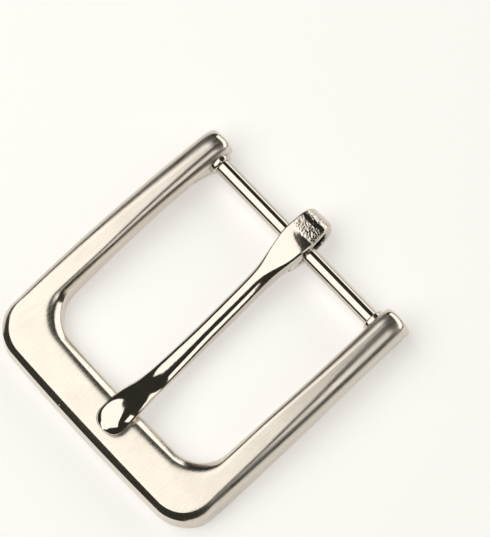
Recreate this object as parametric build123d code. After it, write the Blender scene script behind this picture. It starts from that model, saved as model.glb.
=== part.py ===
"""Single-bar belt buckle for a 35 mm strap, in millimetres.

A horseshoe frame, cast in one piece, arches up from its broad front bar to two lugs at the heel.
A round steel bar is held by its ends in the lugs, and the prong's heel is curled round the bar.
The prong swings on the bar, and its tip lies on the front bar.

+X runs along the heel bar, +Y from the front bar to the heel, +Z up.
The origin is the middle of the bounding box's base, where the buckle lies on a table.
"""
from build123d import *
import math
import os

# ---- the strap and the bar ----
STRAP_WIDTH = 35.0
STRAP_PLAY = 1.0          # on each side of the strap, between the lugs
BAR_RADIUS = 1.5
BAR_HEIGHT = 3.3          # of the bar's axis above the table
BAR_DEPTH_IN_LUG = 3.6    # how far each end is held in its lug
HINGE_PLAY = 0.12         # radial, between the bar and the prong's eye

# ---- the frame seen from above ----
FRONT_FROM_BAR = 48.8
HALF_WIDTH_HEEL = 24.7    # outside of the arms, at their foot
HALF_WIDTH_MID = 25.4
HALF_WIDTH_FRONT = 24.9
ARM_GAP = 38.0            # between the arms at the heel
ARM_GAP_MID = 39.0
FRONT_BAR_WIDTH = 9.4
FRONT_BOW_OUTER = 0.7     # how far the front edge bows past its corners
FRONT_BOW_INNER = 0.4
WIDEST_FROM_FRONT = 24.0
OUTER_CORNER_RADIUS = 6.3
INNER_CORNER_RADIUS = 6.0
WALL_DRAFT = 4.0          # degrees, so that the casting leaves its mould

# ---- the frame seen from the side ----
FRONT_HEIGHT = 3.6        # of the top at the front edge
MID_HEIGHT = 6.2
HEEL_HEIGHT = 7.0
ARM_THICKNESS = 4.1
ARM_ROOT = 1.0            # where the arms' underside starts, behind the opening's front
END_TOP = 2.1             # the arms' ends, past the bar's axis, at the top
END_FOOT = 3.4            # and at the foot of the sloping end face
END_DROP = 2.6            # height of the sloping end face
END_ROLL = 2.2            # length of the top that falls off towards the end
END_ROLL_DROP = 0.4
END_FACET = 0.75          # length of the slanting facet at the top of the end face
END_FACET_DROP = 0.47
FRONT_BEVEL = 1.5         # width of the sloping band along the front edge
FRONT_BEVEL_DROP = 1.1
DOME_WIDTH = 3.0          # the arms' rounded outer shoulder
DOME_DROP = 2.5
DOME_INSET = 0.35         # of the shoulder's foot from the arm's own foot
INNER_ROUNDING = 2.0      # radius along the top of the opening

# ---- the lugs ----
LUG_RADIUS = 3.35         # about the bar
LUG_BACK = 2.5            # of its straight rear face, past the bar's axis
LUG_REACH = 6.2           # forward of the bar, where the lug fades into its arm
LUG_ROOT = 0.9            # how far it goes up into the arm
LUG_TOE_DEPTH = 0.4       # of its front end, below the root
LUG_SETBACK = 0.45        # of the lug's sides from the arm's
BOSS_RADIUS = 2.1         # of the boss round the bar's end
BOSS_LENGTH = 2.0
BOSS_ROUNDING = 0.4
BAR_CHAMFER = 0.25

# ---- the prong ----
PRONG_REACH = 46.0        # from the bar's axis to the tip
PRONG_CANT = 2.7          # degrees sideways, as it lies loose on the bar
PRONG_SHIFT = 0.35        # along the bar
EYE_LENGTHENING = 3.1     # of the eye behind a plain round hole
HEEL_WALL = 1.6
HEEL_UNDER_WALL = 1.2
TIP_THICKNESS = 1.9
TIP_GAP = 0.06            # between the tip and the front bar, at rest
TIP_CAP = 2.4             # length of the tip's rounded end
TIP_HALF_WIDTH = 2.82
TIP_FALL = 0.55           # of the top at the very tip
TIP_REST_Y = -41.4        # where the tip touches the front bar, from the bar's axis
EYE_BITE = 0.12           # of the eye's front, ahead of a plain round hole
CURL_END = (-4.6, -0.95)  # where the curled heel meets the shank, from the bar's axis
SEAM_TOP = (-1.0, -0.75)  # inner end of the slit where the curl closes
SEAM_FOOT = (-5.8, -1.15) # outer end of that slit
SEAM_GAP = 0.2

# ---- places worked out from them ----
LUG_GAP = STRAP_WIDTH + 2 * STRAP_PLAY
EYE_RADIUS = BAR_RADIUS + HINGE_PLAY
HEEL_END = EYE_LENGTHENING + EYE_RADIUS + HEEL_WALL
BAR_Y = (FRONT_FROM_BAR - HEEL_END) / 2
FRONT_Y = BAR_Y - FRONT_FROM_BAR
INNER_FRONT_Y = FRONT_Y + FRONT_BAR_WIDTH
MID_Y = FRONT_Y + 0.52 * FRONT_FROM_BAR
ROUND = 0.5523            # makes a four-point curve a quarter of an ellipse
TALL = 12.0               # more than the frame's height
WIDE = 60.0               # more than the frame's width


def at_bar(y, z):
    """A point of the side view, measured from the bar's axis."""
    return (BAR_Y + y, BAR_HEIGHT + z)


def side_extrusion(outline, half_width=WIDE / 2):
    """A solid from an outline in the side view, the same distance each side of x = 0."""
    return extrude(Plane.YZ * make_face(outline), amount=half_width, both=True)


def both_sides(solid):
    """A solid and its mirror image across the buckle's middle."""
    return [solid, mirror(solid, about=Plane.YZ)]


# ---- the frame ----

def top_arc():
    """The frame's top in side view, from the front edge to the arms' ends."""
    return ThreePointArc(
        (FRONT_Y, FRONT_HEIGHT),
        (MID_Y, MID_HEIGHT),
        (BAR_Y + END_TOP, HEEL_HEIGHT),
    )


def top_height(y):
    """Height of the frame's top at y."""
    arc = top_arc()
    centre, radius = arc.arc_center, arc.radius
    return centre.Y + math.sqrt(radius**2 - (y - centre.X) ** 2)


def side_solid():
    """Everything above the underside and ahead of the arms' ends."""
    end_y = BAR_Y + END_FOOT
    arm_foot = HEEL_HEIGHT - ARM_THICKNESS
    arm_root = (INNER_FRONT_Y + ARM_ROOT, 0)
    front_end = FRONT_Y - 0.5
    outline = [
        Line((front_end, TALL), (end_y, TALL)),
        Line((end_y, TALL), (end_y, arm_foot)),
        ThreePointArc((end_y, arm_foot), (MID_Y, MID_HEIGHT - ARM_THICKNESS), arm_root),
        Line(arm_root, (front_end, 0)),
        Line((front_end, 0), (front_end, TALL)),
    ]
    return side_extrusion(outline)


def end_cut():
    """What is taken off the arms' ends: the roll of the top, the bright facet and the sloping face."""
    top_y = BAR_Y + END_TOP
    roll_y = top_y - END_ROLL
    edge_z = HEEL_HEIGHT - END_ROLL_DROP
    beyond = BAR_Y + END_FOOT + 1
    outline = Polyline(
        (roll_y, top_height(roll_y)),
        (top_y, edge_z),
        (top_y + END_FACET, edge_z - END_FACET_DROP),
        (BAR_Y + END_FOOT, HEEL_HEIGHT - END_DROP),
        (beyond, HEEL_HEIGHT - END_DROP),
        (beyond, TALL),
        (roll_y, TALL),
        close=True,
    )
    return side_extrusion(outline)


def horseshoe_outline(half_heel, half_mid, half_front, front_y, bow, heel_y, corner_radius):
    """A horseshoe seen from above, with bowed sides and front and rounded front corners."""
    corner = (half_front, front_y + bow)
    right = ThreePointArc((half_heel, heel_y), (half_mid, FRONT_Y + WIDEST_FROM_FRONT), corner)
    front = ThreePointArc(corner, (0, front_y), (-corner[0], corner[1]))
    left = mirror(right, about=Plane.YZ)
    heel = Line((-half_heel, heel_y), (half_heel, heel_y))
    face = make_face([right, front, left, heel])
    return fillet(face.vertices().sort_by(Axis.Y)[:2], corner_radius)


def outer_prism():
    """The block inside the frame's outer walls, which lean in towards the top."""
    outline = horseshoe_outline(
        HALF_WIDTH_HEEL, HALF_WIDTH_MID, HALF_WIDTH_FRONT,
        FRONT_Y, FRONT_BOW_OUTER, BAR_Y + END_FOOT + 2, OUTER_CORNER_RADIUS,
    )
    lean = TALL * math.tan(math.radians(WALL_DRAFT))
    upper = Pos(0, 0, TALL) * offset(outline, -lean)
    return loft([outline.face(), upper.face()], ruled=True)


def opening_prism():
    """The block taken out of the middle, open towards the heel."""
    outline = horseshoe_outline(
        ARM_GAP / 2, ARM_GAP_MID / 2, ARM_GAP / 2,
        INNER_FRONT_Y, FRONT_BOW_INNER, BAR_Y + END_FOOT + 5, INNER_CORNER_RADIUS,
    )
    return extrude(outline, amount=TALL)


def domed_section(y, half_width, fullness):
    """The frame's cross-section at y, with rounded outer shoulders, full or partly faded out."""
    top = top_height(y)
    side = half_width - DOME_INSET * fullness
    width = DOME_WIDTH * fullness
    drop = DOME_DROP * fullness
    shoulder = (side, y, top - drop)
    crest = (side - width, y, top)
    foot = (side + 1.5, y, -1)
    upright = (side, y, top - drop * (1 - ROUND))
    level = (side - width * (1 - ROUND), y, top)
    curve = Bezier(shoulder, upright, level, crest)
    right = [Line(foot, shoulder), curve]
    left = [mirror(edge, about=Plane.YZ) for edge in right]
    mirrored_crest = (-crest[0], y, top)
    mirrored_foot = (-foot[0], y, -1)
    return make_face(right + left + [Line(crest, mirrored_crest), Line(foot, mirrored_foot)])


def domed_block():
    """The arched top with rounded shoulders along the arms, fading out round the front corners."""
    stations = [
        (BAR_Y + END_FOOT + 1, HALF_WIDTH_HEEL, 1.0),
        (BAR_Y - 10, HALF_WIDTH_HEEL + 0.45, 1.0),
        (FRONT_Y + WIDEST_FROM_FRONT, HALF_WIDTH_MID, 1.0),
        (FRONT_Y + 12, HALF_WIDTH_FRONT + 0.35, 0.9),
        (FRONT_Y + 5, HALF_WIDTH_FRONT + 0.15, 0.65),
        (FRONT_Y - 1, HALF_WIDTH_FRONT, 0.4),
    ]
    return loft([domed_section(*station) for station in stations])


def front_bevel():
    """The sliver taken off along the top of the bowed front edge."""
    half_chord = HALF_WIDTH_FRONT
    bow_radius = (half_chord**2 + FRONT_BOW_OUTER**2) / (2 * FRONT_BOW_OUTER)
    clear = 3.0
    start = FRONT_Y + FRONT_BEVEL
    slope = (top_height(start) - FRONT_HEIGHT + FRONT_BEVEL_DROP) / FRONT_BEVEL
    sliver = Polyline(
        (start, top_height(start)),
        (start, FRONT_HEIGHT + clear),
        (FRONT_Y - clear, FRONT_HEIGHT + clear),
        (FRONT_Y - clear, FRONT_HEIGHT - FRONT_BEVEL_DROP - slope * clear),
        close=True,
    )
    axis = Axis((0, FRONT_Y + bow_radius, 0), (0, 0, 1))
    spread = 10.0
    sweep = revolve(Plane.YZ * make_face(sliver), axis=axis, revolution_arc=spread)
    return sweep.rotate(axis, -spread / 2)


def lug_side():
    """Side view of a lug: straight behind, round under the bar, fading forward into the arm."""
    root = HEEL_HEIGHT - ARM_THICKNESS + LUG_ROOT
    toe = (BAR_Y - LUG_REACH, root - LUG_TOE_DEPTH)
    turn = 0.5 * (math.acos(LUG_BACK / LUG_RADIUS) + math.asin(BAR_HEIGHT / LUG_RADIUS))
    foot_half = math.sqrt(LUG_RADIUS**2 - BAR_HEIGHT**2)
    heel = at_bar(LUG_BACK, -math.sqrt(LUG_RADIUS**2 - LUG_BACK**2))
    foot_heel = at_bar(foot_half, -BAR_HEIGHT)
    foot_front = at_bar(-foot_half, -BAR_HEIGHT)
    under_bar = at_bar(LUG_RADIUS * math.cos(turn), -LUG_RADIUS * math.sin(turn))
    return [
        Line((heel[0], root), heel),
        ThreePointArc(heel, under_bar, foot_heel),
        Line(foot_heel, foot_front),
        Spline(foot_front, toe, tangents=[(-1, 0.28), (-1, 0.12)]),
        Line(toe, (toe[0], root)),
        Line((toe[0], root), (heel[0], root)),
    ]


def lug():
    """The right lug, under the arm's end."""
    inside = ARM_GAP / 2 + LUG_SETBACK
    outside = HALF_WIDTH_HEEL - LUG_SETBACK
    return extrude(Plane.YZ.offset(inside) * make_face(lug_side()), amount=outside - inside)


def boss():
    """The right boss, from the strap's side into the lug, with a rounded rim."""
    start = Plane.YZ.offset(LUG_GAP / 2) * Pos(*at_bar(0, 0))
    cylinder = extrude(start * Circle(BOSS_RADIUS), amount=BOSS_LENGTH)
    return fillet(cylinder.edges().sort_by(Axis.X)[0], BOSS_ROUNDING)


def bar_hole():
    """The right blind hole for the bar."""
    start = Plane.YZ.offset(LUG_GAP / 2 - 1) * Pos(*at_bar(0, 0))
    return extrude(start * Circle(BAR_RADIUS), amount=BAR_DEPTH_IN_LUG + 1)


def on_opening(edge):
    """Whether an edge runs along the top of the opening."""
    middle = edge @ 0.5
    beside_opening = abs(middle.X) < ARM_GAP_MID / 2 + 0.2 and middle.Y > INNER_FRONT_Y - 0.1
    return beside_opening and middle.Z > FRONT_HEIGHT and edge.length > 5


def make_frame():
    """The cast horseshoe with its lugs and the blind holes for the bar."""
    body = side_solid() & outer_prism() & domed_block()
    body = body - front_bevel() - opening_prism()
    body = fillet(body.edges().filter_by(on_opening), INNER_ROUNDING) - end_cut()
    for added in both_sides(lug()) + both_sides(boss()):
        body = body + added
    for hole in both_sides(bar_hole()):
        body = body - hole
    return body


# ---- the heel bar ----

def make_heel_bar():
    """The round bar, with its ends held in the lugs."""
    half = LUG_GAP / 2 + BAR_DEPTH_IN_LUG
    start = Plane.YZ.offset(-half) * Pos(*at_bar(0, 0))
    bar = extrude(start * Circle(BAR_RADIUS), amount=2 * half)
    return chamfer(bar.edges(), BAR_CHAMFER)


# ---- the prong ----

def prong_side():
    """Side view of the prong: curled heel, long dipping shank, short rise and a tip that lies flat."""
    rest = top_height(BAR_Y + TIP_REST_Y) - BAR_HEIGHT + TIP_GAP
    tip = top_height(BAR_Y - PRONG_REACH) - BAR_HEIGHT + TIP_GAP
    tip_top = at_bar(-PRONG_REACH, tip + TIP_THICKNESS - TIP_FALL)
    crown = EYE_RADIUS + HEEL_WALL - 0.05
    under = EYE_RADIUS + HEEL_UNDER_WALL
    upper = Spline(
        at_bar(0.6, crown),
        at_bar(-6.0, 2.5),
        at_bar(-14.0, 1.6),
        at_bar(-23.0, 1.1),
        at_bar(-30.0, 0.9),
        at_bar(-34.0, 1.15),
        at_bar(-37.4, 2.4),
        at_bar(-40.4, rest + TIP_THICKNESS),
        tip_top,
        tangents=[(-1, 0), (-1, -0.3)],
    )
    lower = Spline(
        at_bar(-PRONG_REACH, tip),
        at_bar(TIP_REST_Y, rest),
        at_bar(-38.8, rest - 0.2),
        at_bar(-36.0, 0.2),
        at_bar(-32.5, -0.6),
        at_bar(-27.0, -1.05),
        at_bar(-20.0, -1.25),
        at_bar(-12.0, -1.15),
        at_bar(*CURL_END),
    )
    return [
        Line(at_bar(EYE_LENGTHENING, crown), at_bar(0.6, crown)),
        upper,
        Line(tip_top, at_bar(-PRONG_REACH, tip)),
        lower,
        ThreePointArc(at_bar(*CURL_END), at_bar(-2.7 - EYE_BITE, -2.35), at_bar(0, -under)),
        Line(at_bar(0, -under), at_bar(EYE_LENGTHENING, -under)),
        ThreePointArc(
            at_bar(EYE_LENGTHENING, -under),
            at_bar(HEEL_END, 0.15),
            at_bar(EYE_LENGTHENING, crown),
        ),
    ]


def eye():
    """The long eye that the bar passes through."""
    slot = SlotCenterToCenter(EYE_LENGTHENING + EYE_BITE, 2 * EYE_RADIUS)
    middle = Plane.YZ * Pos(*at_bar((EYE_LENGTHENING - EYE_BITE) / 2, 0))
    return extrude(middle * slot, amount=WIDE / 2, both=True)


def seam():
    """The slit where the curled end meets the underside of the shank."""
    slit = Polyline(
        at_bar(*SEAM_TOP),
        at_bar(*SEAM_FOOT),
        at_bar(SEAM_FOOT[0], SEAM_FOOT[1] - SEAM_GAP),
        at_bar(SEAM_TOP[0], SEAM_TOP[1] - SEAM_GAP),
        close=True,
    )
    return side_extrusion(slit)


def prong_plan():
    """The prong seen from above: a broad heel, a slim shank and a blunt, broader tip."""
    cap_y = -PRONG_REACH + TIP_CAP
    half_widths = [
        (HEEL_END - 1.6, 2.35),
        (1.5, 2.74),
        (-0.5, 2.76),
        (-4.2, 2.22),
        (-8.3, 1.76),
        (-16.0, 1.74),
        (-26.0, 1.8),
        (-34.4, 2.0),
        (-38.5, 2.48),
        (-41.0, 2.76),
        (cap_y, TIP_HALF_WIDTH),
    ]
    right = Spline(
        [(half, BAR_Y + y) for y, half in half_widths],
        tangents=[(0.15, -1), (0, -1)],
    )
    cap = Spline(
        (TIP_HALF_WIDTH, BAR_Y + cap_y),
        (0, BAR_Y - PRONG_REACH),
        (-TIP_HALF_WIDTH, BAR_Y + cap_y),
        tangents=[(0, -1), (0, 1)],
    )
    heel_y, heel_half = half_widths[0]
    heel = Spline(
        (heel_half, BAR_Y + heel_y),
        (0, BAR_Y + HEEL_END + 0.3),
        (-heel_half, BAR_Y + heel_y),
        tangents=[(-0.15, 1), (-0.15, -1)],
    )
    return make_face([right, cap, mirror(right, about=Plane.YZ), heel])


def make_prong():
    """The prong, with its heel curled round the bar, lying a little askew."""
    blank = side_extrusion(prong_side()) & extrude(prong_plan(), amount=TALL)
    straight = blank - eye() - seam()
    turned = straight.rotate(Axis((0, BAR_Y, 0), (0, 0, 1)), PRONG_CANT)
    return Pos(PRONG_SHIFT, 0, 0) * turned


def save(name, shape):
    """Writes one sub-part."""
    shape.label = name
    export_step(shape, f"parts/{name}.step")


os.makedirs("parts", exist_ok=True)
save("frame", make_frame())
save("heel_bar", make_heel_bar())
save("prong", make_prong())
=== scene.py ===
"""A belt buckle's looks: satin frame, bright heel bar and bright prong on a pale table.

Sizes are in millimetres until a mesh is made, in the same frame as the CAD model:
+X along the heel bar, +Y from the front bar to the heel, +Z up, the table at z = 0.
"""

import math

import bmesh
import bpy
import numpy as np
from mathutils import Matrix, Vector


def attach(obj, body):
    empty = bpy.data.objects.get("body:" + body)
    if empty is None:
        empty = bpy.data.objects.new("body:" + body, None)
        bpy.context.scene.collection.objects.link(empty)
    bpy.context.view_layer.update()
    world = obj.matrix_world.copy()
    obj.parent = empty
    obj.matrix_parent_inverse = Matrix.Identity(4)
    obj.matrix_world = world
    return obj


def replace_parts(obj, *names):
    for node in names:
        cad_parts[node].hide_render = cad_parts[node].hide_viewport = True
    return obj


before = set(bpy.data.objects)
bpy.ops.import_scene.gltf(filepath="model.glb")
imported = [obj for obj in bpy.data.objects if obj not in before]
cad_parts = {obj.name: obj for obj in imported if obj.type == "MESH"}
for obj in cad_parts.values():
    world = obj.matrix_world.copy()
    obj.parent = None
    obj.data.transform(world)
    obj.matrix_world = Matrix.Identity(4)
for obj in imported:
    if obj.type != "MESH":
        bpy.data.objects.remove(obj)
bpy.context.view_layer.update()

MM = 0.001

# ---- sizes, as in the CAD model, with finer shapes for the edges that catch the light ----
BAR_RADIUS = 1.5
BAR_HEIGHT = 3.3
BAR_HALF_LENGTH = 22.1
FRONT_FROM_BAR = 48.8
HALF_WIDTH_HEEL = 24.7
HALF_WIDTH_MID = 25.4
HALF_WIDTH_FRONT = 24.9
HALF_GAP = 19.0
HALF_GAP_MID = 19.5
FRONT_BAR_WIDTH = 9.4
FRONT_BOW_OUTER = 0.7
FRONT_BOW_INNER = 0.4
OUTER_CORNER_RADIUS = 6.3
INNER_CORNER_RADIUS = 6.0
WALL_DRAFT = math.tan(math.radians(4.0))
FRONT_HEIGHT = 3.6
MID_HEIGHT = 6.2
HEEL_HEIGHT = 7.0
ARM_THICKNESS = 4.1
END_TOP = 2.1
END_FOOT = 3.4
END_DROP = 2.6
END_FACET = 0.95
END_FACET_DROP = 0.58
END_ROLL = 2.2
END_ROLL_DROP = 0.3
FRONT_BEVEL = 1.15
FRONT_BEVEL_DROP = 0.78
FRONT_WALL_LEAN = 0.39
LOWER_ROUNDING = 0.35
DOME_WIDTH = 3.0
DOME_DROP = 2.5
DOME_INSET = 0.35
INNER_ROUNDING = 2.0
LIP_FADE = 2.4          # how many corner radii the lip and the band take to fade into the arms
BAND_FADE = 1.1
END_BULGE_LENGTH = 6.0  # of each arm, over which its end's shape grows
LUG_RADIUS = 3.35
LUG_BACK = 2.5
LUG_ROOT = 0.9
LUG_TOE_DEPTH = 0.4
LUG_REACH = 6.2
LUG_SETBACK = 0.45
HALF_LUG_GAP = 18.5
BOSS_RADIUS = 2.1
BOSS_LENGTH = 2.0
BOSS_ROUNDING = 0.4
PRONG_REACH = 46.0
PRONG_CANT = math.radians(2.7)
PRONG_SHIFT = 0.35
HINGE_PLAY = 0.12
EYE_LENGTHENING = 3.1
HEEL_WALL = 1.6
HEEL_UNDER_WALL = 1.2
TIP_THICKNESS = 1.9
TIP_REST_Y = -41.4
TIP_FALL = 0.55
TIP_GAP = 0.06
TIP_CAP = 2.4
PIT_DEPTH = 0.07        # of the rough patch on the prong's heel

EYE_RADIUS = BAR_RADIUS + HINGE_PLAY
HEEL_END = EYE_LENGTHENING + EYE_RADIUS + HEEL_WALL
BAR_Y = (FRONT_FROM_BAR - HEEL_END) / 2
FRONT_Y = BAR_Y - FRONT_FROM_BAR
INNER_FRONT_Y = FRONT_Y + FRONT_BAR_WIDTH
MID_Y = FRONT_Y + 0.52 * FRONT_FROM_BAR


# ---- the studio: azimuth, elevation, distance, (width, height) and brightness of each lamp ----
MAIN_SOFTBOX = (219.8, 58.0, 700.0, (1050.0, 740.0), 1.65)
BACK_STRIP = (80.0, 20.0, 900.0, (1700.0, 380.0), 1.6)
RIGHT_STRIP = (14.0, 50.0, 800.0, (210.0, 480.0), 1.7)
TABLE_GLOW = 0.38
ROOM_COLOUR = "#373730"
CAMERA_AZIMUTH = 55.97
CAMERA_ELEVATION = 72.48
CAMERA_ROLL = 8.66
CAMERA_DISTANCE = 536.7
CAMERA_LENS = 213.5
CAMERA_TARGET = (-2.56, 11.81, 2.91)


# ---- small helpers for shapes ----

def through(points):
    """The parabola through three (place, value) points, as a function."""
    places, values = zip(*points)
    curve = np.polyfit(places, values, 2)
    return lambda place: np.polyval(curve, place)


def smooth_step(x):
    """0 below 0, 1 above 1, and an easy slope between."""
    x = np.clip(x, 0.0, 1.0)
    return x * x * (3 - 2 * x)


def resample(points, count):
    """A polyline's points at equal distances along it."""
    points = np.asarray(points, float)
    steps = np.linalg.norm(np.diff(points, axis=0), axis=1)
    along = np.concatenate([[0.0], np.cumsum(steps)])
    wanted = np.linspace(0.0, along[-1], count)
    return np.stack([np.interp(wanted, along, points[:, k]) for k in range(points.shape[1])], axis=1)


def bend(a, b, c, d, count):
    """Points on the smooth curve from a to d that leaves towards b and arrives from c."""
    t = np.linspace(0.0, 1.0, count)[:, None]
    a, b, c, d = (np.asarray(p, float) for p in (a, b, c, d))
    return (1 - t) ** 3 * a + 3 * (1 - t) ** 2 * t * b + 3 * (1 - t) * t**2 * c + t**3 * d


def arc(centre, radius, start, end, count):
    """Points on a circle between two angles in degrees."""
    angles = np.radians(np.linspace(start, end, count))
    return np.stack([centre[0] + radius * np.cos(angles), centre[1] + radius * np.sin(angles)], axis=1)


def make_piece(name, points, faces, material, sharp_degrees=40.0):
    """A smooth-shaded mesh from points in millimetres, with crisp edges where faces meet steeply."""
    mesh = bpy.data.meshes.new(name)
    mesh.from_pydata([tuple(p) for p in np.asarray(points) * MM], [], faces)
    turned = bmesh.new()
    turned.from_mesh(mesh)
    bmesh.ops.recalc_face_normals(turned, faces=turned.faces)
    turned.to_mesh(mesh)
    turned.free()
    mesh.shade_smooth()
    mesh.set_sharp_from_angle(angle=math.radians(sharp_degrees))
    mesh.materials.append(material)
    piece = bpy.data.objects.new(name, mesh)
    bpy.context.scene.collection.objects.link(piece)
    return piece


def skin(rings, first_cap=True, last_cap=True):
    """Points and faces of a closed tube through rings of points, with its ends filled."""
    rings = np.asarray(rings, float)
    count, around = rings.shape[:2]
    points = [tuple(p) for p in rings.reshape(-1, 3)]
    faces = []
    for i in range(count - 1):
        for j in range(around):
            k = (j + 1) % around
            faces.append((i * around + j, i * around + k, (i + 1) * around + k, (i + 1) * around + j))
    for wanted, row, flip in ((first_cap, 0, True), (last_cap, count - 1, False)):
        if not wanted:
            continue
        centre = len(points)
        points.append(tuple(rings[row].mean(axis=0)))
        for j in range(around):
            a, b = row * around + j, row * around + (j + 1) % around
            faces.append((b, a, centre) if flip else (a, b, centre))
    return points, faces


def lathe(outline, around=96):
    """Rings round the heel bar's axis from an outline of (x, radius)."""
    turn = np.linspace(0.0, 2 * math.pi, around, endpoint=False)
    rings = []
    for x, radius in outline:
        y = BAR_Y + radius * np.cos(turn)
        z = BAR_HEIGHT + radius * np.sin(turn)
        rings.append(np.stack([np.full(around, x), y, z], axis=1))
    return rings


def add_mark(piece, name, values):
    """One number for each of a mesh's points, for its material to read."""
    mark = piece.data.attributes.new(name, "FLOAT", "POINT")
    mark.data.foreach_set("value", np.asarray(values, np.float32))


# ---- the frame ----

top_height = through([
    (FRONT_Y, FRONT_HEIGHT),
    (MID_Y, MID_HEIGHT),
    (BAR_Y + END_TOP, HEEL_HEIGHT),
])
arm_underside = through([
    (INNER_FRONT_Y + 1.0, 0.0),
    (MID_Y, MID_HEIGHT - ARM_THICKNESS),
    (BAR_Y + END_FOOT, HEEL_HEIGHT - ARM_THICKNESS),
])


def underside(y):
    """Height of the frame's underside: on the table under the front bar, rising under the arms."""
    return np.where(y > INNER_FRONT_Y + 1.0, arm_underside(y), 0.0)


def outline(front_y, half_front, half_at, bow, radius, arm_rows, corner_rows, front_rows):
    """The horseshoe's outline from the left arm's end, round the front, to the right arm's end."""
    left_x = -half_front
    near_y = front_y + radius
    arm = np.stack([np.full(arm_rows, left_x), np.linspace(BAR_Y + END_TOP, near_y, arm_rows)], axis=1)
    corner = arc((left_x + radius, near_y), radius, 180, 270, corner_rows)
    half_of_front = np.stack(
        [np.linspace(left_x + radius, 0.0, front_rows), np.full(front_rows, front_y)], axis=1
    )
    left = np.concatenate([arm, corner[1:], half_of_front[1:]])
    fade = smooth_step((near_y - left[:, 1]) / radius)
    left[:, 1] += bow * fade * (left[:, 0] / half_front) ** 2
    left[:, 0] *= half_at(left[:, 1]) / half_front
    right = left[-2::-1] * (-1, 1)
    return np.concatenate([left, right])


def frame_outlines():
    """Matching points on the inner and outer outlines."""
    rows = (90, 60, 40)
    outer_half = through([
        (BAR_Y + END_FOOT + 2, HALF_WIDTH_HEEL),
        (FRONT_Y + 24, HALF_WIDTH_MID),
        (FRONT_Y + FRONT_BOW_OUTER, HALF_WIDTH_FRONT),
    ])
    inner_half = through([
        (BAR_Y + END_FOOT + 5, HALF_GAP),
        (FRONT_Y + 24, HALF_GAP_MID),
        (INNER_FRONT_Y + FRONT_BOW_INNER, HALF_GAP),
    ])
    outer = outline(FRONT_Y, HALF_WIDTH_FRONT, outer_half, FRONT_BOW_OUTER, OUTER_CORNER_RADIUS, *rows)
    inner = outline(INNER_FRONT_Y, HALF_GAP, inner_half, FRONT_BOW_INNER, INNER_CORNER_RADIUS, *rows)
    return inner, outer


def inner_edge(frontness):
    """Points (distance out from the opening, drop) from the opening's wall up to the flat.

    The arms have a plain roll, and the front bar a soft dip below a slanting lip.
    """
    turn = np.radians(np.linspace(0, 90, 24))
    roll = np.stack([INNER_ROUNDING * (1 - np.cos(turn)), INNER_ROUNDING * (1 - np.sin(turn))], axis=1)
    lip = smooth_through([
        (0.0, 2.4), (0.06, 1.95), (0.28, 1.48), (0.7, 1.06),
        (1.5, 0.44), (2.1, 0.16), (2.7, 0.03), (3.3, 0.0),
    ], 24)
    return (1 - frontness) * roll + frontness * lip


def outer_edge(frontness):
    """Points (distance in from the outline, drop) from the flat down to the outer wall.

    The arms have a round shoulder, and the front bar a crisp edge with a slanting band below it.
    """
    turn = np.radians(np.linspace(0, 90, 28))
    inward = DOME_INSET + DOME_WIDTH * (1 - np.sin(turn))
    shoulder = np.stack([inward, DOME_DROP * (1 - np.cos(turn))], axis=1)
    lean, width, drop = FRONT_WALL_LEAN, FRONT_BEVEL, FRONT_BEVEL_DROP
    band = bend((lean + width, 0.0), (lean + width * 0.66, drop * 0.3),
                (lean + width * 0.33, drop * 0.64), (lean, drop), 28)
    return (1 - frontness) * shoulder + frontness * band


def wall_drops(height, crease):
    """Drops down a wall: close together about the crease of the arm's end, then evenly spread."""
    near = crease * np.array([0.0, 0.5, 0.85, 1.2])
    spread = np.array([0.08, 0.2, 0.35, 0.5, 0.65, 0.8, 0.93, 1.0])
    return np.concatenate([near, near[-1] + (height - near[-1]) * spread])


def bulge(share):
    """How far the arm's end stands out: 1 at its middle, less at its sides."""
    return 1 - 0.22 * np.abs(2 * share - 1) ** 3


def end_run(drop, share):
    """How far the end face lies past the top's end: a slanting facet, then a steep rounded nose."""
    full = bulge(share)
    rest = np.clip((drop - END_FACET_DROP * full) / (END_DROP - END_FACET_DROP * full), 0.0, 1.0)
    facet = np.minimum(drop / END_FACET_DROP, full) * END_FACET
    return facet + full * (END_FOOT - END_TOP - END_FACET) * np.sin(rest * math.pi / 2)


def frame_slice(inner, outer, lip, band, endness, from_end):
    """A slice across the frame's metal as a grid of columns from inside to outside, each going down.

    Lip and band say how far the front bar's edges have taken over from the arms', from 0 to 1. Also
    gives how polished each column's top is, from 0 for brushed to 1 for bright.
    """
    width = np.linalg.norm(outer - inner)
    inside, outside = inner_edge(lip), outer_edge(band)
    outside[:, 0] = width - outside[:, 0]
    flat = np.linspace(inside[-1], outside[0], 12)[1:-1]
    across, drop = np.concatenate([inside, flat, outside]).T
    share = across / width
    y = inner[1] + (outer[1] - inner[1]) * share
    roll = END_ROLL_DROP * np.clip(1 - from_end / END_ROLL, 0.0, 1.0) ** 2
    top = top_height(y) - drop - roll
    corner = np.clip(1 - np.minimum(across, width - across) / LOWER_ROUNDING, 0.0, 1.0)
    foot = underside(y) + LOWER_ROUNDING * corner**2
    columns = []
    for k in range(len(share)):
        drops = wall_drops(top[k] - foot[k], END_FACET_DROP * bulge(share[k]))
        shares = np.full(len(drops), share[k])
        if k == len(share) - 1:
            wall_foot = 1 - WALL_DRAFT * foot[k] / width
            shares = share[k] + (wall_foot - share[k]) * drops / drops[-1]
        place = inner + (outer - inner) * shares[:, None]
        place[:, 1] += endness * end_run(drops, shares)
        columns.append(np.column_stack([place, top[k] - drops]))
    lip_polish = smooth_step((2.0 - inside[:, 0]) / 0.6)
    band_polish = np.where(np.arange(len(outside)) > 0, 1.0, 0.0)
    polish = np.concatenate([lip * lip_polish, np.zeros(len(flat)), band * band_polish])
    return np.asarray(columns), polish


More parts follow.
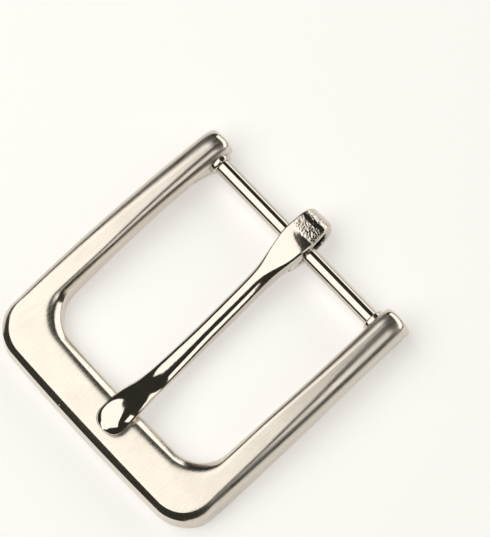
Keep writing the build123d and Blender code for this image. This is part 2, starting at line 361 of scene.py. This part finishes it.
def border(grid):
    """A grid's outer edge as one loop: its top row, last column, bottom row and first column."""
    return np.concatenate([grid[:, 0], grid[-1, 1:-1], grid[::-1, -1], grid[0, -2:0:-1]])


def end_cap(grid, loop_places, first_new):
    """Faces that fill a slice, and its inner points, which the loop round it doesn't hold."""
    inner_points = grid[1:-1, 1:-1].reshape(-1, 3)
    names = np.empty(grid.shape[:2], int)
    names[1:-1, 1:-1] = first_new + np.arange(len(inner_points)).reshape(names[1:-1, 1:-1].shape)
    columns, rows = names.shape
    round_it = [(k, 0) for k in range(columns)] + [(columns - 1, r) for r in range(1, rows - 1)]
    round_it += [(k, rows - 1) for k in range(columns - 1, -1, -1)] + [(0, r) for r in range(rows - 2, 0, -1)]
    for place, (k, r) in zip(loop_places, round_it):
        names[k, r] = place
    faces = [
        (names[k, r], names[k + 1, r], names[k + 1, r + 1], names[k, r + 1])
        for k in range(columns - 1) for r in range(rows - 1)
    ]
    return inner_points, [tuple(int(n) for n in face) for face in faces]


def make_frame(material):
    """The cast horseshoe, as slices from the left arm's end round to the right arm's."""
    inner, outer = frame_outlines()
    steps = np.linalg.norm(np.diff((inner + outer) / 2, axis=0), axis=1)
    along = np.concatenate([[0.0], np.cumsum(steps)])
    loops, grids, polish = [], [], []
    for i in range(len(inner)):
        from_end = min(along[i], along[-1] - along[i])
        from_front = (inner[i][1] - INNER_FRONT_Y) / INNER_CORNER_RADIUS
        lip = float(smooth_step(1.15 - from_front / LIP_FADE))
        band = float(smooth_step(1.1 - from_front / BAND_FADE))
        endness = float(np.clip(1 - from_end / END_BULGE_LENGTH, 0.0, 1.0))
        grid, top_polish = frame_slice(inner[i], outer[i], lip, band, endness, from_end)
        loop = border(grid)
        loops.append(loop)
        grids.append(grid)
        at_end = i in (0, len(inner) - 1)
        polish.append(np.concatenate([
            np.ones(len(top_polish)) if at_end else top_polish,
            np.full(len(loop) - len(top_polish), 0.8),
        ]))
    points, faces = skin(loops, False, False)
    count = len(loops[0])
    for grid, row in ((grids[0], 0), (grids[-1], len(loops) - 1)):
        extra, cap = end_cap(grid, range(row * count, (row + 1) * count), len(points))
        points += [tuple(p) for p in extra]
        faces += cap
    piece = make_piece("frame_casting", points, faces, material, sharp_degrees=42)
    spare = len(points) - len(loops) * count
    add_mark(piece, "polish", list(np.ravel(polish)) + [1.0] * spare)
    return piece


def lug_outline():
    """A lug's side view as points of (y, z): straight behind, round below, fading into the arm."""
    root = HEEL_HEIGHT - ARM_THICKNESS + LUG_ROOT
    foot = math.sqrt(LUG_RADIUS**2 - BAR_HEIGHT**2)
    toe = (BAR_Y - LUG_REACH, root - LUG_TOE_DEPTH)
    back_angle = -math.degrees(math.acos(LUG_BACK / LUG_RADIUS))
    foot_angle = -math.degrees(math.acos(foot / LUG_RADIUS))
    rounded = arc((BAR_Y, BAR_HEIGHT), LUG_RADIUS, back_angle, foot_angle, 24)
    front = bend((BAR_Y - foot, 0.0), (BAR_Y - foot - 2.1, 0.6), (toe[0] + 2.0, toe[1] - 0.3), toe, 20)
    return np.concatenate([[(BAR_Y + LUG_BACK, root)], rounded, front, [(toe[0], root)]])


def make_lug(side, material):
    """One lug with softened edges, its root hidden inside the arm."""
    shape = lug_outline()
    heart = np.array([BAR_Y - 0.5, BAR_HEIGHT])
    inside, outside, soft = HALF_GAP + LUG_SETBACK, HALF_WIDTH_HEEL - LUG_SETBACK, 0.3
    rings = []
    for x, shrink in (
        (inside, soft), (inside + soft * 0.3, soft * 0.3), (inside + soft, 0.0),
        (outside - soft, 0.0), (outside - soft * 0.3, soft * 0.3), (outside, soft),
    ):
        pulled = shape + (heart - shape) * (shrink / LUG_RADIUS)
        rings.append(np.stack([np.full(len(pulled), x * side), pulled[:, 0], pulled[:, 1]], axis=1))
    points, faces = skin(rings if side < 0 else rings[::-1])
    return make_piece(f"lug_{'left' if side < 0 else 'right'}", points, faces, material)


def make_boss(side, material):
    """The round boss that the bar's end goes into, with a rolled rim."""
    start, rim = HALF_LUG_GAP, BOSS_ROUNDING
    profile = [(start, BAR_RADIUS), (start, BOSS_RADIUS - rim)]
    for angle in np.radians(np.linspace(0, 90, 10)):
        profile.append((start + rim * (1 - math.cos(angle)), BOSS_RADIUS - rim * (1 - math.sin(angle))))
    profile.append((start + BOSS_LENGTH, BOSS_RADIUS))
    points, faces = skin(lathe([(x * side, r) for x, r in profile]), False, False)
    return make_piece(f"boss_{'left' if side < 0 else 'right'}", points, faces, material)


# ---- the heel bar ----

def make_heel_bar(material):
    """The round bar with chamfered ends."""
    half, chamfer = BAR_HALF_LENGTH, 0.25
    profile = [(-half, BAR_RADIUS - chamfer), (-half + chamfer, BAR_RADIUS)]
    profile += [(x, BAR_RADIUS) for x in np.linspace(-half + 1, half - 1, 40)]
    profile += [(half - chamfer, BAR_RADIUS), (half, BAR_RADIUS - chamfer)]
    points, faces = skin(lathe(profile))
    return make_piece("heel_bar_turned", points, faces, material)


# ---- the prong ----

def smooth_through(points, count):
    """A smooth curve through points, leaving and arriving along its first and last chords."""
    points = np.asarray(points, float)
    slopes = np.gradient(points, axis=0)
    pieces = []
    for i in range(len(points) - 1):
        a, d = points[i], points[i + 1]
        pieces.append(bend(a, a + slopes[i] / 3, d - slopes[i + 1] / 3, d, 24)[:-1])
    return resample(np.concatenate(pieces + [points[-1:]]), count)


def prong_lines():
    """Matching points of (y, z) from the bar's axis on the prong's outside and inside.

    The outside runs from the tip over the crown, down behind the bar and back under it.
    """
    tip_rest = top_height(BAR_Y + TIP_REST_Y) - BAR_HEIGHT + TIP_GAP
    tip_low = top_height(BAR_Y - PRONG_REACH) - BAR_HEIGHT + TIP_GAP
    crown = EYE_RADIUS + HEEL_WALL - 0.05
    under = EYE_RADIUS + HEEL_UNDER_WALL
    upper = smooth_through([
        (-PRONG_REACH, tip_low + TIP_THICKNESS - TIP_FALL),
        (-43.6, tip_rest + TIP_THICKNESS - 0.12),
        (-40.4, tip_rest + TIP_THICKNESS),
        (-37.4, 2.4), (-34.0, 1.15), (-30.0, 0.9), (-23.0, 1.1), (-14.0, 1.6), (-6.0, 2.5), (-2.0, 3.08),
    ], 190)
    over = bend((-2.0, 3.08), (-1.2, crown), (-0.6, crown), (0.6, crown), 14)
    flat = resample([(0.6, crown), (EYE_LENGTHENING, crown)], 12)
    middle = (crown - under) / 2
    half = (crown + under) / 2
    behind = [
        (EYE_LENGTHENING + (HEEL_END - EYE_LENGTHENING) * math.sin(a), middle + half * math.cos(a))
        for a in np.linspace(0, math.pi, 40)
    ]
    below = resample([(EYE_LENGTHENING, -under), (0.0, -under)], 12)
    curl = bend((0.0, -under), (-1.6, -under), (-3.4, -2.2), (-4.4, -1.35), 16)
    outside = np.concatenate([upper, over[1:], flat[1:], behind[1:], below[1:], curl[1:]])

    shank = smooth_through([
        (-PRONG_REACH, tip_low), (TIP_REST_Y, tip_rest), (-38.8, tip_rest - 0.2), (-36.0, 0.2),
        (-32.5, -0.6), (-27.0, -1.05), (-20.0, -1.25), (-12.0, -1.15), (-4.6, -0.98), (-1.45, -0.85),
    ], 190)
    front = arc((-HINGE_PLAY, 0.0), EYE_RADIUS, 212, 90, 14)
    inner_top = resample([(-HINGE_PLAY, EYE_RADIUS), (EYE_LENGTHENING, EYE_RADIUS)], 12)
    inner_end = arc((EYE_LENGTHENING, 0.0), EYE_RADIUS, 90, -90, 40)
    inner_low = resample([(EYE_LENGTHENING, -EYE_RADIUS), (0.0, -EYE_RADIUS)], 12)
    inner_curl = bend((0.0, -EYE_RADIUS), (-0.8, -1.5), (-2.4, -1.15), (-4.3, -1.3), 16)
    inside = np.concatenate([shank, front[1:], inner_top[1:], inner_end[1:], inner_low[1:], inner_curl[1:]])
    return outside, inside


def prong_half_width(y):
    """Half the prong's width at y from the bar's axis."""
    knots = [
        (HEEL_END, 2.0), (HEEL_END - 0.5, 2.3), (HEEL_END - 1.6, 2.5), (1.5, 2.74), (-0.5, 2.76),
        (-4.2, 2.22), (-8.3, 1.76), (-16.0, 1.74), (-26.0, 1.8), (-34.4, 2.0), (-38.5, 2.48),
        (-41.0, 2.76), (-PRONG_REACH + TIP_CAP, 2.82),
    ]
    line = smooth_through(knots[::-1], 400)
    half = np.interp(y, line[:, 0], line[:, 1])
    cap = np.clip((-PRONG_REACH + TIP_CAP - y) / TIP_CAP, 0.0, 1.0)
    return half * (1 - cap**2.4) ** (1 / 2.4)


def soft_ring(outer, inner, half, top_round, low_round, steps=10):
    """A rounded box section between an outside and an inside point, in x and the side view."""
    lift = outer - inner
    thick = np.linalg.norm(lift)
    up = lift / thick
    corners = (
        (1, 1, top_round, 0, 90), (-1, 1, top_round, 90, 180),
        (-1, -1, low_round, 180, 270), (1, -1, low_round, 270, 360),
    )
    centre = (outer + inner) / 2
    ring = []
    for sx, sz, (rx, rz), start, end in corners:
        rx, rz = min(rx, half), min(rz, thick / 2)
        for angle in np.radians(np.linspace(start, end, steps)):
            x = sx * (half - rx) + rx * math.cos(angle)
            n = sz * (thick / 2 - rz) + rz * math.sin(angle)
            y, z = centre + up * n
            ring.append((x, y, z))
    return ring


def make_prong(material):
    """The prong as one strip from its tip, along the shank and curled round the bar."""
    outside, inside = prong_lines()
    rings = []
    for i, (out, inn) in enumerate(zip(outside, inside)):
        y = out[0]
        half = max(float(prong_half_width(y)), 0.12)
        shank = float(smooth_step((-3.0 - y) / 7.0))
        tip = float(smooth_step((-36.5 - y) / 4.0))
        crown_x = 0.45 + shank * 1.25 + tip * 0.6
        crown_z = 0.35 + shank * 0.85 - tip * 0.25
        ring = soft_ring(out, inn, half, (crown_x, crown_z), (0.35 + 0.3 * shank, 0.3))
        rings.append(ring)
    rings = np.asarray(rings)
    turn = PRONG_CANT
    x, y, z = rings[..., 0], rings[..., 1], rings[..., 2]
    placed = np.stack([
        x * math.cos(turn) - y * math.sin(turn) + PRONG_SHIFT,
        x * math.sin(turn) + y * math.cos(turn) + BAR_Y,
        z + BAR_HEIGHT,
    ], axis=-1)
    points, faces = skin(placed)
    piece = make_piece("prong_forged", points, faces, material, sharp_degrees=50)
    back_from_bar = np.array([p[1] for p in points]) - BAR_Y
    height = np.array([p[2] for p in points]) - BAR_HEIGHT
    add_mark(piece, "pitted", smooth_step((back_from_bar - 0.8) / 0.7) * smooth_step(height - 0.8))
    return piece


# ---- materials ----

def colour(code):
    """A linear colour from an sRGB hex code."""
    parts = [int(code[i:i + 2], 16) / 255 for i in (1, 3, 5)]
    linear = [p / 12.92 if p <= 0.04045 else ((p + 0.055) / 1.055) ** 2.4 for p in parts]
    return (*linear, 1.0)


def add(tree, kind, inputs=None, **settings):
    """Adds a node, with its settings, and its inputs as values or as links from other nodes' outputs."""
    node = tree.nodes.new(kind)
    for name, value in settings.items():
        setattr(node, name, value)
    for name, value in (inputs or {}).items():
        if isinstance(value, bpy.types.NodeSocket):
            tree.links.new(value, node.inputs[name])
        else:
            node.inputs[name].default_value = value
    return node


def new_material(name):
    """An empty metal material: its node tree and its shader."""
    material = bpy.data.materials.new(name)
    material.use_nodes = True
    tree = material.node_tree
    tree.nodes.clear()
    shader = add(tree, "ShaderNodeBsdfPrincipled", {"Metallic": 1.0})
    add(tree, "ShaderNodeOutputMaterial", {"Surface": shader.outputs[0]})
    return material, tree, shader


def satin_nickel():
    """Nickel plate brushed along the frame: fine long lines that blur what it mirrors.

    The opening's lip, the walls, the arms' ends and the band along the front stay bright, out of the
    brush's reach.
    """
    material, tree, shader = new_material("satin brushed nickel plate on cast zinc")
    place = add(tree, "ShaderNodeTexCoord").outputs["Object"]
    polish = add(tree, "ShaderNodeAttribute", attribute_name="polish").outputs["Fac"]
    # brush lines straight along the arms, about 12 mm long and 0.15 mm apart, coarser than real ones
    lines_place = add(tree, "ShaderNodeMapping", {"Vector": place, "Scale": (6500.0, 80.0, 3000.0)})
    lines = add(tree, "ShaderNodeTexNoise", {
        "Vector": lines_place.outputs[0], "Scale": 1.0, "Detail": 4.0, "Roughness": 0.6,
    }).outputs["Fac"]
    # slow changes of tone, about 6 mm across, where the brush pressed harder
    patches = add(tree, "ShaderNodeTexNoise", {"Vector": place, "Scale": 170.0, "Detail": 2.0}).outputs["Fac"]
    tone = add(tree, "ShaderNodeValToRGB", {"Fac": lines})
    tone.color_ramp.elements[0].position = 0.3
    tone.color_ramp.elements[0].color = colour("#CDC5B9")
    tone.color_ramp.elements[1].position = 0.7
    tone.color_ramp.elements[1].color = colour("#E0D9CF")
    tree.links.new(tone.outputs["Color"], shader.inputs["Base Color"])
    line_rough = add(tree, "ShaderNodeMapRange", {
        "Value": lines, "From Min": 0.3, "From Max": 0.7, "To Min": 0.25, "To Max": 0.33,
    }).outputs[0]
    uneven = add(tree, "ShaderNodeMapRange", {
        "Value": patches, "From Min": 0.3, "From Max": 0.7, "To Min": -0.03, "To Max": 0.03,
    }).outputs[0]
    satin = add(tree, "ShaderNodeMath", {0: line_rough, 1: uneven}, operation="ADD").outputs[0]
    rough = add(tree, "ShaderNodeMapRange", {"Value": polish, "To Min": satin, "To Max": 0.14}).outputs[0]
    tree.links.new(rough, shader.inputs["Roughness"])
    # casting pits 0.25 mm across that the plate didn't fill, a few on the whole frame
    cells = add(tree, "ShaderNodeTexVoronoi", {"Vector": place, "Scale": 130.0}).outputs["Distance"]
    pits = add(tree, "ShaderNodeMapRange", {
        "Value": cells, "From Min": 0.012, "From Max": 0.035, "To Min": -4.0, "To Max": 0.0,
    }).outputs[0]
    height = add(tree, "ShaderNodeMath", {0: lines, 1: pits}, operation="ADD").outputs[0]
    bump = add(tree, "ShaderNodeBump", {"Height": height, "Strength": 0.25, "Distance": 0.00003})
    tree.links.new(bump.outputs[0], shader.inputs["Normal"])
    return material


def bright_nickel(name, rough, ripple_size, ripple_depth):
    """Bright nickel plate: a mirror with ripples left by the hammer, the die or the tumbling barrel."""
    material, tree, shader = new_material(name)
    shader.inputs["Base Color"].default_value = colour("#D0C9BF")
    place = add(tree, "ShaderNodeTexCoord").outputs["Object"]
    ripples = add(tree, "ShaderNodeTexNoise", {
        "Vector": place, "Scale": 1 / (ripple_size * MM), "Detail": 2.0, "Roughness": 0.4,
    }).outputs["Fac"]
    # rubbed and handled patches are a little duller
    rubbed = add(tree, "ShaderNodeTexNoise", {"Vector": place, "Scale": 300.0, "Detail": 3.0}).outputs["Fac"]
    dull = add(tree, "ShaderNodeMapRange", {
        "Value": rubbed, "From Min": 0.35, "From Max": 0.7, "To Min": rough, "To Max": rough * 1.8,
    }).outputs[0]
    tree.links.new(dull, shader.inputs["Roughness"])
    # where the piece is marked as pitted, dots about 0.3 mm across catch the lamps
    pitted = add(tree, "ShaderNodeAttribute", attribute_name="pitted").outputs["Fac"]
    dots = add(tree, "ShaderNodeTexNoise", {"Vector": place, "Scale": 2600.0, "Detail": 1.0}).outputs["Fac"]
    marked_dots = add(tree, "ShaderNodeMath", {0: dots, 1: pitted}, operation="MULTIPLY").outputs[0]
    share = PIT_DEPTH / ripple_depth
    pits = add(tree, "ShaderNodeMath", {0: marked_dots, 1: share}, operation="MULTIPLY").outputs[0]
    height = add(tree, "ShaderNodeMath", {0: ripples, 1: pits}, operation="ADD").outputs[0]
    bump = add(tree, "ShaderNodeBump", {"Height": height, "Strength": 1.0, "Distance": ripple_depth * MM})
    tree.links.new(bump.outputs[0], shader.inputs["Normal"])
    return material


def light_table():
    """White acrylic lit from below, which shows as a pale reflection in the metal's lower edges."""
    material, tree, shader = new_material("opal white acrylic sheet")
    shader.inputs["Metallic"].default_value = 0.0
    shader.inputs["Base Color"].default_value = colour("#F6F4F0")
    shader.inputs["Roughness"].default_value = 0.6
    shader.inputs["Emission Color"].default_value = colour("#FFFEFC")
    shader.inputs["Emission Strength"].default_value = TABLE_GLOW
    return material


# ---- the studio ----

def make_table():
    """A large flat sheet under the buckle."""
    half = 900.0
    corners = [(-half, -half, 0), (half, -half, 0), (half, half, 0), (-half, half, 0)]
    make_piece("table", corners, [(0, 1, 2, 3)], light_table())


def facing(way):
    """The rotation that points a lamp's or a camera's view along a direction."""
    return Vector(way).to_track_quat("-Z", "Y").to_matrix().to_4x4()


def add_softbox(name, azimuth, elevation, distance, size, radiance):
    """A rectangular diffused lamp facing the buckle. Azimuth is in degrees from +X towards +Y.

    The size is its width along the horizon and its height, in millimetres.
    """
    azimuth, elevation = math.radians(azimuth), math.radians(elevation)
    way = np.array([
        math.cos(elevation) * math.cos(azimuth),
        math.cos(elevation) * math.sin(azimuth),
        math.sin(elevation),
    ])
    width, height = size[0] * MM, size[1] * MM
    light = bpy.data.lights.new(name, "AREA")
    light.shape = "RECTANGLE"
    light.size, light.size_y = width, height
    light.energy = radiance * math.pi * width * height
    light.color = colour("#FFFDFA")[:3]
    lamp = bpy.data.objects.new(name, light)
    lamp.location = way * distance * MM
    lamp.rotation_euler = facing(-way).to_euler()
    bpy.context.scene.collection.objects.link(lamp)


def light_studio():
    """A big softbox from the left, a low strip behind the heel, a small one on the right, a dark room."""
    add_softbox("main_softbox", *MAIN_SOFTBOX)
    add_softbox("back_strip", *BACK_STRIP)
    add_softbox("right_strip", *RIGHT_STRIP)
    world = bpy.data.worlds.new("dark room")
    world.use_nodes = True
    world.node_tree.nodes["Background"].inputs["Color"].default_value = colour(ROOM_COLOUR)
    world.node_tree.nodes["Background"].inputs["Strength"].default_value = 1.0
    bpy.context.scene.world = world
    bpy.context.scene.view_settings.view_transform = "Standard"


def place_camera():
    """The camera, nearly overhead from the right of the front bar."""
    azimuth, elevation, roll = (math.radians(a) for a in (CAMERA_AZIMUTH, CAMERA_ELEVATION, CAMERA_ROLL))
    way = np.array([
        math.cos(elevation) * math.sin(azimuth),
        -math.cos(elevation) * math.cos(azimuth),
        math.sin(elevation),
    ])
    data = bpy.data.cameras.new("camera")
    data.lens = CAMERA_LENS
    data.sensor_width = 36.0
    data.clip_start, data.clip_end = 0.01, 10.0
    camera = bpy.data.objects.new("camera", data)
    camera.location = (np.array(CAMERA_TARGET) + way * CAMERA_DISTANCE) * MM
    camera.rotation_euler = (facing(-way) @ Matrix.Rotation(-roll, 4, "Z")).to_euler()
    bpy.context.scene.collection.objects.link(camera)
    bpy.context.scene.camera = camera


# ---- build ----

satin = satin_nickel()
tumbled = bright_nickel("tumbled bright nickel on the cast lugs", 0.1, 1.2, 0.02)
bar_finish = bright_nickel("bright nickel on drawn steel bar", 0.05, 2.0, 0.01)
prong_finish = bright_nickel("bright nickel on forged prong", 0.06, 1.6, 0.015)

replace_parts(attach(make_frame(satin), "frame_body"), "frame")
for side in (-1, 1):
    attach(make_lug(side, tumbled), "frame_body")
    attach(make_boss(side, tumbled), "frame_body")
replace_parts(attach(make_heel_bar(bar_finish), "frame_body"), "heel_bar")
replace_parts(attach(make_prong(prong_finish), "prong_body"), "prong")

make_table()
light_studio()
place_camera()
